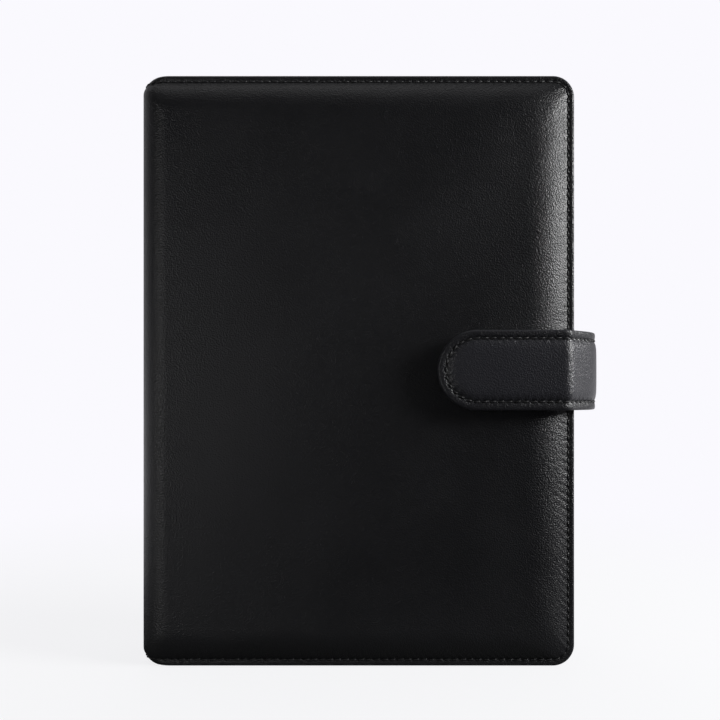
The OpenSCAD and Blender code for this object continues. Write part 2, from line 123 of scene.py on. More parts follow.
# The table glows for the camera alone, and fades into the room behind the cover.
ray = add_node(tree, "LightPath")
glow = add_node(tree, "Math", {"operation": "MULTIPLY"}, {1: table_seen},
                {0: ray.outputs["Is Camera Ray"]})
tree.links.new(glow.outputs[0], look.inputs["Emission Strength"])
where = add_node(tree, "TexCoord")
reach = add_node(tree, "VectorMath", {"operation": "LENGTH"}, None, {0: where.outputs["Object"]})
fade = add_node(tree, "MapRange", {"interpolation_type": "SMOOTHSTEP"},
                {"From Min": 0.12, "From Max": 0.5}, {"Value": reach.outputs["Value"]})
pale = add_node(tree, "Emission", None, {"Color": sky_colour})
mixed = add_node(tree, "MixShader", None, None,
                 {0: fade.outputs[0], 1: look.outputs[0], 2: pale.outputs[0]})
tree.links.new(mixed.outputs[0], tree.nodes["Material Output"].inputs["Surface"])
table_mesh.materials.append(laminate)


def add_light(name, place, aim, width, height, watts):
    """A rectangular softbox at a place, turned towards a point."""
    box = bpy.data.lights.new(name, "AREA")
    box.shape = "RECTANGLE"
    box.size = width
    box.size_y = height
    box.energy = watts
    made = bpy.data.objects.new(name, box)
    made.location = place
    way = (np.array(aim) - np.array(place)).tolist()
    made.rotation_mode = "QUATERNION"
    made.rotation_quaternion = Vector(way).to_track_quat("-Z", "Y")
    bpy.context.scene.collection.objects.link(made)


add_light("key softbox", (0.98, -0.31, 0.47), (0.07, 0, 0.18), 0.4, 0.35, 12.7)
add_light("spine softbox", (-0.68, -0.8, 0.12), (-0.08, 0, 0.11), 0.3, 0.35, 1.7)
add_light("top softbox", (-0.1, -0.1, 1.3), (0, 0, 0.1), 1.2, 0.8, 1.8)

# ---- Covers ----
# Each cover is foam and grey-board wrapped in black PU-coated split leather. The leather is turned in
# round the board, sewn close to its edge, and the foam swells straight out of the seam to a flat panel.
# Sizes from here on are in millimetres; MM is one, in metres. A name that ends in _d is a distance out
# from the middle of the book.
MM = 0.001
leather_lo, leather_hi = (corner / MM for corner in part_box("front_outer_leather"))
hinge_x = leather_lo.x
fore_x = leather_hi.x
height = leather_hi.z
middle = height / 2
mid_y = (leather_hi.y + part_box("back_outer_leather")[0].y / MM) / 2
lining_d = mid_y - leather_hi.y
board_d = mid_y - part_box("front_board")[1].y / MM
edge_d = mid_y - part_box("front_stitching")[1].y / MM
crown_d = mid_y - leather_lo.y

# Widths of the flat border and of the padding's slopes, and the corner's radius, which opens by
# corner_growth up the slope. The seam's inset and stitch length. How far the leather laps the hinge's
# piece, wraps under the lining, and narrows over the flat panel.
border = 3.2
slope_fore = 17
slope_ends = 13
corner_r = 8.5
corner_growth = 6
seam_inset = 2.6
hole_gap = 3.1
overlap = 4
wrap = 80
panel_run = 70

# Points across the edge of a cover: the inset from its edge, the distance from the middle of the book
# and the rub there, which makes the leather glossier and paints it lighter: partly wear, partly a
# painted highlight.
fold = [(3.0, board_d, 0), (1.35, board_d, 0), (1.15, lining_d + 0.3, 0), (0.8, lining_d + 0.05, 0.1),
        (0.4, lining_d + 0.15, 0.2), (0.1, lining_d + 0.6, 0.3), (0, lining_d + 1.3, 0.3),
        (0, edge_d - 1.5, 0.3), (0.06, edge_d - 0.8, 0.4), (0.25, edge_d - 0.32, 0.5),
        (0.6, edge_d - 0.06, 0.3), (1.1, edge_d + 0.03, 0.1), (1.7, edge_d, 0)]
sunk = [(2.2, edge_d - 0.1, 0), (2.6, edge_d - 0.22, 0), (2.95, edge_d - 0.12, 0), (3.2, edge_d + 0.1, 0)]
rises = np.linspace(0, 1, 17)[1:]
spreads = np.linspace(0, 1, 15)[1:] ** 1.2


def outline(x0, x1, z0, z1, r, counts, closed=False):
    """Points along the top, round the fore edge and back along the bottom; closed adds the other side."""
    n_run, n_turn, n_side = counts
    turn = np.linspace(0, math.pi / 2, n_turn + 1)[1:]
    start = x0 + r if closed else x0
    xs = [np.linspace(start, x1 - r, n_run + 1), x1 - r + r * np.sin(turn),
          np.full(n_side, x1), x1 - r + r * np.cos(turn), np.linspace(x1 - r, start, n_run + 1)[1:]]
    zs = [np.full(n_run + 1, z1), z1 - r + r * np.cos(turn),
          np.linspace(z1 - r, z0 + r, n_side + 1)[1:], z0 + r - r * np.sin(turn), np.full(n_run, z0)]
    if closed:
        xs += [x0 + r - r * np.sin(turn), np.full(n_side, x0), x0 + r - r * np.cos(turn)[:-1]]
        zs += [z0 + r - r * np.cos(turn), np.linspace(z0 + r, z1 - r, n_side + 1)[1:],
               z1 - r + r * np.sin(turn)[:-1]]
    return np.concatenate(xs), np.concatenate(zs)


def add_piece(name, points, faces, material, wear_and_highlight=None):
    """A smooth closed mesh from points in millimetres. Faces with many corners are its cut ends."""
    mesh = bpy.data.meshes.new(name)
    mesh.from_pydata((np.asarray(points) * MM).tolist(), [], faces)
    # The rub is stored per point. It is wear and painted highlight for the leather's colour.
    if wear_and_highlight is not None:
        mesh.attributes.new("wear_and_highlight", "FLOAT", "POINT").data.foreach_set("value", np.float32(wear_and_highlight))
    form = bmesh.new()
    form.from_mesh(mesh)
    bmesh.ops.remove_doubles(form, verts=form.verts, dist=1e-7)
    bmesh.ops.recalc_face_normals(form, faces=form.faces)
    for face in form.faces:
        face.smooth = True
        if len(face.verts) > 8:
            for edge in face.edges:
                edge.smooth = False
    form.to_mesh(mesh)
    form.free()
    mesh.materials.append(material)
    made = bpy.data.objects.new(name, mesh)
    bpy.context.scene.collection.objects.link(made)
    return made


def quilt(name, loops, place, counts, material, relief=None, closed=False):
    """A piece built from loops, each (x0, x1, z0, z1, corner radius, distance, rub of wear and painted
    highlight).
    """
    rings = []
    wear_and_highlight_values = []
    for n, (x0, x1, z0, z1, r, d, wear_and_highlight) in enumerate(loops):
        xs, zs = outline(x0, x1, z0, z1, r, counts, closed)
        ds = np.full(len(xs), float(d)) + (relief(n, xs, zs) if relief else 0)
        rings.append(place(xs, zs, ds))
        wear_and_highlight_values.append(np.full(len(xs), wear_and_highlight))
    n = len(rings[0])
    faces = [(a * n + i, a * n + (i + 1) % n, (a + 1) * n + (i + 1) % n, (a + 1) * n + i)
             for a in range(len(rings) - 1) for i in range(n if closed else n - 1)]
    if not closed:
        faces.append([a * n for a in range(len(rings))] +
                     [a * n + n - 1 for a in reversed(range(len(rings)))])
    return add_piece(name, np.concatenate(rings), faces, material, np.concatenate(wear_and_highlight_values))


def flat(sign):
    """Places a cover's points: sign is -1 for the front cover and 1 for the back."""
    return lambda xs, zs, ds: np.stack([xs, mid_y + sign * ds, zs], 1)


def ease(t):
    """A smooth step from 0 to 1."""
    t = np.clip(t, 0, 1)
    return t * t * (3 - 2 * t)


def padding_at(u, foot):
    """The padding's height and rub (wear with painted highlight) at a share of the way up its slope."""
    return foot + (crown_d - foot) * (1 - (1 - u) ** 2.4), 0.25 * u ** 4 * (1 - u)


# Split leather with a thick black PU coat, embossed with a fine pebble of about 0.6 mm. The coat gives
# a soft satin shine and the pebble breaks it up. Hands polish the folded edges. There and on the strap's
# padded middle, the rub makes the leather glossier and paints it lighter: partly wear, partly a painted
# highlight.
outer_leather = bpy.data.materials.new("black PU-coated split leather")
outer_leather.use_nodes = True
tree = outer_leather.node_tree
look = tree.nodes["Principled BSDF"]
look.inputs["IOR"].default_value = 1.5
where = add_node(tree, "TexCoord")
wear_and_highlight_mask = add_node(tree, "Attribute", {"attribute_name": "wear_and_highlight"})
cloud = add_node(tree, "TexNoise", None, {"Scale": 1 / (30 * MM), "Detail": 3.0},
                 {"Vector": where.outputs["Object"]})
tone = add_node(tree, "MixRGB", None, {1: linear("#0d0d10"), 2: linear("#131317")},
                {0: cloud.outputs[0]})
# Painted highlight and wear: the rub mixes a lighter grey into the base colour.
worn_and_highlit_tone = add_node(tree, "MixRGB", None, {2: linear("#2e2e33")},
                {0: wear_and_highlight_mask.outputs["Fac"], 1: tone.outputs[0]})
tree.links.new(worn_and_highlit_tone.outputs[0], look.inputs["Base Color"])
pebble = add_node(tree, "TexVoronoi", {"feature": "SMOOTH_F1"},
                  {"Scale": 1 / (0.58 * MM), "Smoothness": 0.25, "Randomness": 1.0},
                  {"Vector": where.outputs["Object"]})
crease = add_node(tree, "TexNoise", None, {"Scale": 1 / (0.27 * MM), "Detail": 3.0},
                  {"Vector": where.outputs["Object"]})
grain = add_node(tree, "MixRGB", {"blend_type": "ADD"}, {0: 0.35},
                 {1: pebble.outputs["Distance"], 2: crease.outputs[0]})
bump = add_node(tree, "Bump", None, {"Strength": 1.0, "Distance": 0.145 * MM},
                {"Height": grain.outputs[0]})
tree.links.new(bump.outputs[0], look.inputs["Normal"])
dull = add_node(tree, "MapRange", None,
                {"From Min": 0.3, "From Max": 0.7, "To Min": 0.36, "To Max": 0.42},
                {"Value": cloud.outputs[0]})
sheen = add_node(tree, "Math", {"operation": "MULTIPLY_ADD"}, {1: -0.08},
                 {0: wear_and_highlight_mask.outputs["Fac"], 2: dull.outputs[0]})
tree.links.new(sheen.outputs[0], look.inputs["Roughness"])


def edge_loops(x0, round_to):
    """Loops from under the lining, round the folded edge, up the padding and in to the middle."""
    loops = [(x0, fore_x - wrap, round_to, round_to, 0, board_d, 0)]
    for inset, d, wear_and_highlight in fold + sunk:
        loops.append((x0, fore_x - inset, inset, height - inset, corner_r - inset, d, wear_and_highlight))
    for u in rises:
        loops.append((x0, fore_x - border - slope_fore * u, border + slope_ends * u,
                      height - border - slope_ends * u, corner_r - border + corner_growth * u,
                      *padding_at(u, edge_d)))
    x1 = fore_x - border - slope_fore
    z0 = border + slope_ends
    for t in spreads:
        loops.append((x0, x1 - panel_run * t, z0 + (round_to - z0) * t,
                      height - z0 - (round_to - z0) * t,
                      (corner_r - border + corner_growth) * (1 - t), crown_d, 0))
    return loops


cover_counts = (240, 15, 350)
cover_start = hinge_x + overlap
seam_x, seam_z = outline(cover_start, fore_x - seam_inset, seam_inset, height - seam_inset,
                         corner_r - seam_inset, cover_counts)
along = overlap + np.concatenate([[0], np.cumsum(np.hypot(np.diff(seam_x), np.diff(seam_z)))])
seam_count = round((along[-1] + overlap) / hole_gap)
cover_gap = (along[-1] + overlap) / seam_count
first_rise = 1 + len(fold) + len(sunk)


def seam_dip(inset):
    """How deep the thread pulls the border down."""
    return 0.16 * math.exp(-((inset - seam_inset) / 0.8) ** 2)


def slope_dip(reach):
    """How deep the thread pulls the foot of the padding down, at a distance from the border."""
    return 0.42 * math.exp(-reach / 1.4)


def cover_relief(seed):
    """Thread pinches the seam, the foam ripples behind it, and the panel isn't quite flat."""
    ripple = (np.sin(along / 5.3 + seed) + 0.8 * np.sin(along / 8.7 + 2 * seed) +
              0.6 * np.sin(along / 3.1 + 3 * seed))
    pull = 0.75 + 0.25 * np.sin(along / 2.3 + seed)

    def relief(n, xs, zs):
        fade = ease((xs - cover_start) / 25)
        swell = (0.16 * np.sin(xs / 19 + seed) * np.sin(zs / 27 + 2 * seed) +
                 0.07 * np.sin(xs / 9 - zs / 13 + seed))
        pinch = 0.5 + 0.5 * np.cos(2 * math.pi * along / cover_gap)
        if n < first_rise:
            return -seam_dip(loops[n][2] if n else 99) * pinch
        if n < first_rise + len(rises):
            u = rises[n - first_rise]
            slant = 2 * math.pi * fade * 0.09 * slope_fore * u
            pinch = 0.5 + 0.5 * np.cos(2 * math.pi * along / cover_gap + slant)
            return (-slope_dip(slope_ends * u) * pinch * (1 + fade * (pull - 1)) +
                    fade * (0.03 * math.sin(math.pi * u) * ripple + ease(u) * swell))
        return fade * swell

    return relief


loops = edge_loops(cover_start, middle)
for side, sign, seed in (("front", -1, 0.4), ("back", 1, 2.1)):
    cover = quilt(side + "_padded_leather", loops, flat(sign), cover_counts, outer_leather,
                  cover_relief(seed))
    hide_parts(side + "_outer_leather")
    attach(cover, side + "_cover")

# ---- Spine and its rounded corners ----
# The same leather and foam run on round the spine. The spine is stiff and holds the rings, and the two
# corners have foam and no board, so they fold as the covers open.
arc_d = crown_d - (hinge_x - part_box("spine_outer_leather")[0].x / MM)
seam_arc = math.pi / 2 * (edge_d - arc_d)
spine_run = 2 * arc_d
arc_gap = seam_arc / 4
spine_gap = spine_run / 6

# The border is fuller on the spine, and the padding's slope loses four fifths of its width there.
border_swell = 3.2
slope_loss = 0.8


def round_spine(sign):
    """Places points by their distance back from the hinge line, measured along the seam."""
    def place(qs, zs, ds):
        qs, zs, ds = np.broadcast_arrays(qs, zs, ds)
        turn = np.clip(qs / seam_arc, 0, 1) * math.pi / 2
        r = ds - arc_d
        x = hinge_x - r * np.sin(turn) - np.minimum(qs, 0)
        y = arc_d + r * np.cos(turn) - np.maximum(qs - seam_arc, 0)
        return np.stack([x, mid_y + sign * y, zs], 1)
    return place


def seam_pinch(qs):
    """How far the thread pulls the leather down, from 0 between two holes to 1 at a hole."""
    turns = np.where(qs < 0, qs / cover_gap,
                     np.where(qs < seam_arc, qs / arc_gap, (qs - seam_arc) / spine_gap))
    return 0.5 + 0.5 * np.cos(2 * math.pi * turns)


def ring_of(half):
    """A closed section from half of it, listed from the middle of the inside to that of the outside."""
    top = [(height - inset, d, wear_and_highlight, pinch) for inset, d, wear_and_highlight, pinch in half]
    bottom = [(inset, d, wear_and_highlight, pinch) for inset, d, wear_and_highlight, pinch in reversed(half[1:-1])]
    return np.array(top + bottom)


def sweep(name, section, stations, place, material):
    """A piece swept through the section at each station, closed at both ends."""
    rings = []
    for q in stations:
        ring = section(q)
        n = len(ring)
        pinch = seam_pinch(np.array(float(q)))
        rings.append(place(np.full(n, float(q)), ring[:, 0], ring[:, 1] - ring[:, 3] * pinch))
    faces = [(a * n + i, a * n + (i + 1) % n, (a + 1) * n + (i + 1) % n, (a + 1) * n + i)
             for a in range(len(rings) - 1) for i in range(n)]
    faces.append(list(range(n)))
    faces.append([(len(rings) - 1) * n + i for i in range(n)])
    return add_piece(name, np.concatenate(rings), faces, material, np.tile(ring[:, 2], len(rings)))


def spine_swell(q, inset):
    """How far the border swells out as it rounds the spine."""
    return border_swell * ease(q / seam_arc) * ease((inset + 0.8) / 3.8)


def leather_section(q):
    """Towards the spine the seam pulls less, and the padding rises steeply from a fuller border."""
    run = slope_ends * (1 - slope_loss * float(ease(q / seam_arc)))
    half = [(middle, board_d, 0, 0)]
    half += [(inset, d + (d > edge_d - 1) * float(spine_swell(q, inset)), wear_and_highlight, seam_dip(inset))
             for inset, d, wear_and_highlight in fold + sunk]
    foot = edge_d + float(spine_swell(q, border))
    half += [(border + run * u, *padding_at(u, foot), slope_dip(slope_ends * u)) for u in rises]
    half += [(border + run + (middle - border - run) * t, crown_d, 0, 0) for t in spreads]
    return ring_of(half)


corner_stations = np.concatenate([np.linspace(-overlap, 0, 7), np.linspace(0, seam_arc, 41)[1:],
                                  seam_arc + np.linspace(0, overlap, 7)[1:]])
spine_stations = seam_arc + np.linspace(overlap, spine_run - overlap, 19)


def bend_with_cover(piece, side, sign):
    """Bakes the piece's place into its mesh; the piece stays put as the cover opens."""
    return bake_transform(piece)


spine = sweep("spine_padded_leather", leather_section, spine_stations, round_spine(-1), outer_leather)
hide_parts("spine_outer_leather")
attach(spine, "spine")
for side, sign in (("front", -1), ("back", 1)):
    corner = sweep(side + "_hinge_padded_leather", leather_section, corner_stations, round_spine(sign),
                   outer_leather)
    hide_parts(side + "_hinge_leather", side + "_hinge_foam")
    bend_with_cover(corner, side, sign)

# ---- Lining ----
# A black woven lining is glued over the turned-in leather and the board, and caught by the same seam.
# It runs across the inside of both covers, the corners and the spine.
lining_inset = leather_hi.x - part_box("front_lining")[1].x / MM

# Viscose twill is matt, with a little lint that catches light at a glance, and faint diagonals.
lining_cloth = bpy.data.materials.new("black twill lining")
lining_cloth.use_nodes = True
tree = lining_cloth.node_tree
look = tree.nodes["Principled BSDF"]
look.inputs["Roughness"].default_value = 0.75
look.inputs["Sheen Weight"].default_value = 0.25
look.inputs["Sheen Roughness"].default_value = 0.4
where = add_node(tree, "TexCoord")
slant = add_node(tree, "Mapping", None, {"Rotation": (0, math.radians(45), 0)},
                 {"Vector": where.outputs["Object"]})
# The twill's diagonals are 0.5 mm apart; they are drawn at 0.8 mm, so that they show.
twill = add_node(tree, "TexWave", {"bands_direction": "X"},
                 {"Scale": 1 / (0.8 * MM) * math.pi / 10, "Distortion": 0.6, "Detail": 1.0},
                 {"Vector": slant.outputs[0]})
yarn = add_node(tree, "TexNoise", None, {"Scale": 1 / (1.5 * MM), "Detail": 4.0},
                {"Vector": where.outputs["Object"]})
weave = add_node(tree, "MixRGB", {"blend_type": "MULTIPLY"}, {0: 0.6},
                 {1: twill.outputs[0], 2: yarn.outputs[0]})
colour = add_node(tree, "MixRGB", None, {1: linear("#141417"), 2: linear("#26262b")},
                  {0: weave.outputs[0]})
tree.links.new(colour.outputs[0], look.inputs["Base Color"])
bump = add_node(tree, "Bump", None, {"Strength": 0.5, "Distance": 0.06 * MM},
                {"Height": weave.outputs[0]})
tree.links.new(bump.outputs[0], look.inputs["Normal"])

lining_edge = [(1.6, board_d), (1.3, board_d - 0.1), (1.2, lining_d + 0.4), (1.28, lining_d + 0.12),
               (1.6, lining_d), (2.2, lining_d + 0.02), (2.6, lining_d + 0.16), (3.0, lining_d + 0.02),
               (3.6, lining_d)]
lining_edge = [(inset + lining_inset - 1.2, d) for inset, d in lining_edge]
lining_flat = 3.6
lining_loops = [(cover_start, fore_x - wrap, middle, middle, 0, board_d, 0)]
lining_loops += [(cover_start, fore_x - inset, inset, height - inset, corner_r - inset, d, 0)
                 for inset, d in lining_edge]
lining_loops += [(cover_start, fore_x - lining_flat - 60 * t, lining_flat + (middle - lining_flat) * t,
                  height - lining_flat - (middle - lining_flat) * t,
                  (corner_r - lining_flat) * (1 - t), lining_d, 0)
                 for t in np.linspace(0, 1, 7)[1:]]
lining_half = [(middle, board_d, 0, 0)]
lining_half += [(inset, d, 0, 0) for inset, d in lining_edge]
lining_half += [(lining_flat + (middle - lining_flat) * t, lining_d, 0, 0)
                for t in np.linspace(0, 1, 7)[1:]]


def lining_section(q):
    """The lining's section is the same all along the spine."""
    return ring_of(lining_half)


for side, sign in (("front", -1), ("back", 1)):
    sheet = quilt(side + "_woven_lining", lining_loops, flat(sign), (60, 8, 90), lining_cloth)
    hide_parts(side + "_lining")
    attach(sheet, side + "_cover")
    strip = sweep(side + "_hinge_woven_lining", lining_section, corner_stations, round_spine(sign),
                  lining_cloth)
    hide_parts(side + "_hinge_lining")
    bend_with_cover(strip, side, sign)
strip = sweep("spine_woven_lining", lining_section, spine_stations, round_spine(-1), lining_cloth)
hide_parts("spine_lining")
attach(strip, "spine")

# ---- Edge seam ----
# One row of waxed black polyester thread, 0.8 mm thick, sewn by a lockstitch machine at about eight
# stitches an inch. Each stitch lies slightly across the row and dives into its holes, so that about
# four fifths of it shows.
thread_d = 0.8
stitch_share = 0.8
stitch_slant = math.radians(11)

# Wax gives the thread a soft glint on each stitch, and its twist is just visible.
thread = bpy.data.materials.new("waxed black polyester thread")
thread.use_nodes = True
tree = thread.node_tree
look = tree.nodes["Principled BSDF"]
look.inputs["Roughness"].default_value = 0.5
where = add_node(tree, "TexCoord")
ply = add_node(tree, "TexWave", {"bands_direction": "DIAGONAL"},
               {"Scale": 1 / (0.35 * MM) * math.pi / 10}, {"Vector": where.outputs["Object"]})
colour = add_node(tree, "MixRGB", None, {1: linear("#08080a"), 2: linear("#141417")},
                  {0: ply.outputs[0]})
tree.links.new(colour.outputs[0], look.inputs["Base Color"])
bump = add_node(tree, "Bump", None, {"Strength": 0.6, "Distance": 0.08 * MM},
                {"Height": ply.outputs[0]})
tree.links.new(bump.outputs[0], look.inputs["Normal"])


def sew(name, rows, gap, facing=1):
    """Stitches along rows, each (xs, zs, distance, place). Gap is the distance between two holes."""
    points = []
    faces = []
    ts = np.array([-1, -0.85, -0.5, 0, 0.5, 0.85, 1])
    sides = np.linspace(0, 2 * math.pi, 9)[:-1]
    for xs, zs, d, place in rows:
        xs, zs = np.broadcast_arrays(np.asarray(xs, float), np.asarray(zs, float))
        line = place(xs, zs, d + np.zeros(len(xs)))
        above = place(xs, zs, d + facing + np.zeros(len(xs))) - line
        run = np.concatenate([[0], np.cumsum(np.linalg.norm(np.diff(line, axis=0), axis=1))])
        count = max(1, round(run[-1] / gap))
        for k in range(count):
            s = (k + 0.5) * run[-1] / count
            step = run[-1] / count
            at, before, after, out = (np.array([np.interp(v, run, col[:, i]) for i in range(3)])
                                      for v, col in ((s, line), (s - 0.3 * step, line),
                                                     (s + 0.3 * step, line), (s, above)))
            tangent = (after - before) / np.linalg.norm(after - before)
            out = out / np.linalg.norm(out)
            across = np.cross(out, tangent)
            tangent = tangent * math.cos(stitch_slant) + across * math.sin(stitch_slant)
            across = np.cross(out, tangent)
            first = len(points)
            for t in ts:
                centre = (at + tangent * t * stitch_share / 2 * step +
                          out * (0.05 - 0.35 * abs(t) ** 3) * thread_d)
                r = thread_d / 2 * (1 - 0.45 * abs(t) ** 4)
                for a in sides:
                    points.append(centre + across * r * math.cos(a) + out * 0.85 * r * math.sin(a))
            m = len(sides)
            for a in range(len(ts) - 1):
                for i in range(m):
                    faces.append((first + a * m + i, first + a * m + (i + 1) % m,
                                  first + (a + 1) * m + (i + 1) % m, first + (a + 1) * m + i))
            faces.append([first + i for i in range(m)])
            faces.append([first + (len(ts) - 1) * m + i for i in range(m)])
    return add_piece(name, np.array(points), faces, thread)


outer_thread = edge_d - 0.17
inner_thread = lining_d + 0.08
seam_z_rows = (seam_inset, height - seam_inset)
arc_q = np.linspace(0, seam_arc, 30)
spine_q = seam_arc + np.linspace(0, spine_run, 30)
full_x, full_z = outline(hinge_x, fore_x - seam_inset, seam_inset, height - seam_inset,
                         corner_r - seam_inset, cover_counts)
for side, sign in (("front", -1), ("back", 1)):
    row = sew(side + "_edge_seam", [(full_x, full_z, outer_thread, flat(sign))], cover_gap)
    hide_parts(side + "_stitching")
    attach(row, side + "_cover")
    row = sew(side + "_inside_seam", [(full_x, full_z, inner_thread, flat(sign))], cover_gap,
              facing=-1)
    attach(row, side + "_cover")
    row = sew(side + "_hinge_seam", [(arc_q, z, outer_thread + spine_swell(arc_q, seam_inset),
                                      round_spine(sign)) for z in seam_z_rows], arc_gap)
    bend_with_cover(row, side, sign)
row = sew("spine_seam", [(spine_q, z, outer_thread + spine_swell(spine_q, seam_inset), round_spine(-1))
                         for z in seam_z_rows], spine_gap)
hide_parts("spine_stitching")
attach(row, "spine")

# ---- Boards and foam ----
# Hidden inside: 2 mm grey-board stiffens the covers and the spine, and 4 mm open-cell foam pads them.
# The strap's own stiffener is the same board, split thin. Both are pale, dry and fully matt, with
# fibres in the board and pores in the foam.
grey_board = bpy.data.materials.new("pressed grey-board")
pale_foam = bpy.data.materials.new("open-cell polyether foam")
for made, darker, lighter, spacing, rough_at in ((grey_board, "#8a837a", "#a39c92", 1.2, 0.9),
                                                 (pale_foam, "#c9c7bd", "#e2e0d6", 0.6, 0.95)):
    made.use_nodes = True
    tree = made.node_tree
    look = tree.nodes["Principled BSDF"]
    look.inputs["Roughness"].default_value = rough_at
    where = add_node(tree, "TexCoord")
    fibre = add_node(tree, "TexNoise", None, {"Scale": 1 / (spacing * MM), "Detail": 6.0},
                     {"Vector": where.outputs["Object"]})
    colour = add_node(tree, "MixRGB", None, {1: linear(darker), 2: linear(lighter)},
                      {0: fibre.outputs[0]})
    tree.links.new(colour.outputs[0], look.inputs["Base Color"])
    bump = add_node(tree, "Bump", None, {"Strength": 0.4, "Distance": 0.1 * MM},
                    {"Height": fibre.outputs[0]})
    tree.links.new(bump.outputs[0], look.inputs["Normal"])


def finish_node(name, material, bevel=0.0):
    """A CAD part keeps its shape and gets its finish, with its sharp edges broken."""
    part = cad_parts[name]
    part.data.materials.clear()
    part.data.materials.append(material)
    if bevel:
        weld = part.modifiers.new("weld", "WELD")
        weld.merge_threshold = 0.001 * MM
        rounded = part.modifiers.new("broken edges", "BEVEL")
        rounded.width = bevel * MM
        rounded.segments = 2
        rounded.limit_method = "ANGLE"
        rounded.angle_limit = math.radians(40)


for name in ("front_board", "back_board", "spine_board"):
    finish_node(name, grey_board)
for name in ("front_foam", "back_foam", "spine_foam"):
    finish_node(name, pale_foam)

# ---- Strap ----
# A padded strap of the same leather is sewn flat to the back cover, bows round the fore edge and ends
# in a round tip over the front. Its edges are turned in over a stiffener, sewn 3.3 mm in, and lined.
flap_lo, flap_hi = (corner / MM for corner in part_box("strap_flap_leather"))
root_lo, root_hi = (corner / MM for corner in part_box("strap_root_leather"))
side_lo, side_hi = (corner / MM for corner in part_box("strap_side_leather"))
strap_w = flap_hi.z - flap_lo.z
strap_z = (flap_lo.z + flap_hi.z) / 2
half_w = strap_w / 2
strap_t = root_hi.y - root_lo.y
bend_in = side_hi.x - flap_hi.x - strap_t
bend_y = (side_hi.y - side_lo.y) / 2
strap_seam = 3.3
root_corner_r = 5

# Half of the strap's line round the fore edge, from the middle of its side to the flat on a cover. It
# bows out by 2 mm, leans in by 46 degrees, then turns the rest within a few millimetres.
share = np.linspace(0, 1, 241)
heading = math.radians(46) * ease(share / 0.65) + math.radians(44) * ease((share - 0.9) / 0.1)
bow_out = 2
bow_x = -np.concatenate([[0], np.cumsum(np.sin(heading[:-1]))])
bow_y = np.concatenate([[0], np.cumsum(np.cos(heading[:-1]))])
bow_scale = (bend_y + bend_in + strap_t / 2) / bow_y[-1]
bow_x = side_hi.x + bow_out - strap_t / 2 + bow_x * bow_scale
bow_y = bow_y * bow_scale
bow_run = bow_scale * (len(share) - 1)
ends = {-1: bow_run + bow_x[-1] - flap_lo.x, 1: bow_run + bow_x[-1] - root_lo.x}


def along_strap(sign):
    """Places points by their distance along the strap from the middle of its side."""
    def place(us, vs, os):
        us, vs, os = np.broadcast_arrays(us, vs, os)
        turn = np.interp(us / bow_run, share, heading)
        off = os - strap_t / 2
        x = np.interp(us / bow_run, share, bow_x) + off * np.cos(turn) - np.maximum(us - bow_run, 0)
        y = np.interp(us / bow_run, share, bow_y) + off * np.sin(turn)
        return np.stack([x, sign * y, strap_z + vs], 1)
    return place


# Points across the strap's leather: the inset from its edge, the height over its lining, and the rub,
# which paints the leather lighter: partly wear, partly a painted highlight.
strap_edge = [(1.65, 0.8, 0), (1.5, 0.25, 0), (1.2, 0.05, 0), (0.7, 0.05, 0.2), (0.3, 0.25, 0.4),
              (0.06, 0.8, 0.5), (0, 1.4, 0.5), (0, 2.0, 0.5), (0.06, 2.6, 0.6), (0.26, 3.0, 0.7),
              (0.6, 3.2, 0.5), (1.1, 3.26, 0.2), (1.8, 3.24, 0.2), (2.5, 3.16, 0.2), (3.0, 2.98, 0.1),
              (3.3, 2.9, 0.1), (3.7, 3.0, 0.3), (4.3, 3.28, 0.6), (5.2, 3.55, 0.8), (6.5, 3.72, 0.9),
              (8.2, 3.8, 0.9), (10.5, 3.84, 0.9), (13, 3.85, 0.9)]
strap_counts = {-1: (96, 40, 1), 1: (88, 10, 26)}


def strap_loops(sign, profile, last):
    """Loops of one half of the strap: its tip is a half circle and its root has small round corners."""
    loops = []
    for inset, o, wear_and_highlight in profile:
        half = half_w - inset
        r = half if sign < 0 else min(half, max(root_corner_r - inset, 0.6))
        loops.append((0, ends[sign] - inset, -half, half, r, o, wear_and_highlight))
    centre = ends[sign] - half_w
    first = (0, centre, 0, 0, 0, profile[0][1], 0)
    return [first] + loops + [(0, centre, 0, 0, 0, last, profile[-1][2])]


def strap_seam_row(sign):
    """The strap's seam, from its top round the end and back."""
    return outline(0, ends[sign] - strap_seam, strap_seam - half_w, half_w - strap_seam,
                   half_w - strap_seam if sign < 0 else root_corner_r - strap_seam, strap_counts[sign])


def strap_relief(sign):
    """The thread pinches the strap's seam too."""
    us, vs = strap_seam_row(sign)
    run = np.concatenate([[0], np.cumsum(np.hypot(np.diff(us), np.diff(vs)))])
    turns = run * round(run[-1] / hole_gap) / run[-1]

    def relief(n, xs, zs):
        if 1 <= n <= len(strap_edge):
            inset, o, wear_and_highlight = strap_edge[n - 1]
            if o > 2:
                slant = 0.12 * max(inset - strap_seam, 0)
                pinch = 0.5 + 0.5 * np.cos(2 * math.pi * (turns + slant))
                spread = 0.7 if inset < strap_seam else 1.3
                return -0.36 * math.exp(-((inset - strap_seam) / spread) ** 2) * pinch
        return 0

    return relief


def bend_with_strap(piece, sign):
    """Bakes the piece's place into its mesh; neither half follows the strap's swing or peel."""
    if sign > 0:
        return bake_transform(piece)
    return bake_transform(piece)


